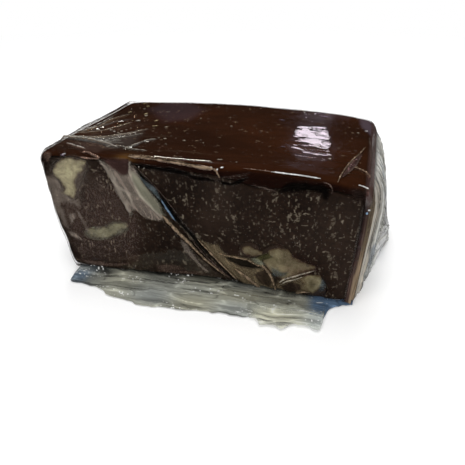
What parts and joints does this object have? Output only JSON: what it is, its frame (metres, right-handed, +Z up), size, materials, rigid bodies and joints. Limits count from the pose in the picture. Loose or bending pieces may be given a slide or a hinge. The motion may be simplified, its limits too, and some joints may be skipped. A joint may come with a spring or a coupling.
{
  "type": "chocolate fudge",
  "caption": "Cut slab of walnut chocolate fudge under a poured glossy chocolate icing, tightly wrapped in clear film whose crumpled edge trails in front.",
  "frame": {"origin": "on the film's flat underside, under the middle of the slab's right-hand 110 mm", "axes": "+X along the slab, +Y from the cut face with the walnuts towards the rear, +Z up"},
  "size_m": [0.1321, 0.088, 0.0495],
  "materials": {
    "fudge": "matt, finely crumbly cut chocolate fudge",
    "icing": "glossy dark chocolate, poured and set",
    "walnut": "pale cut walnut with a brown skin",
    "film": "clear glossy film, hazy where it is crumpled"
  },
  "bodies": {
    "root": {"fudge_block": "fudge", "chocolate_icing": "icing", "walnut_top_left": "walnut", "walnut_crescent": "walnut", "walnut_chip": "walnut", "walnut_large": "walnut", "walnut_low_right": "walnut", "film_wrap": "film", "film_loose_edge": "film"}
  },
  "joints": []
}
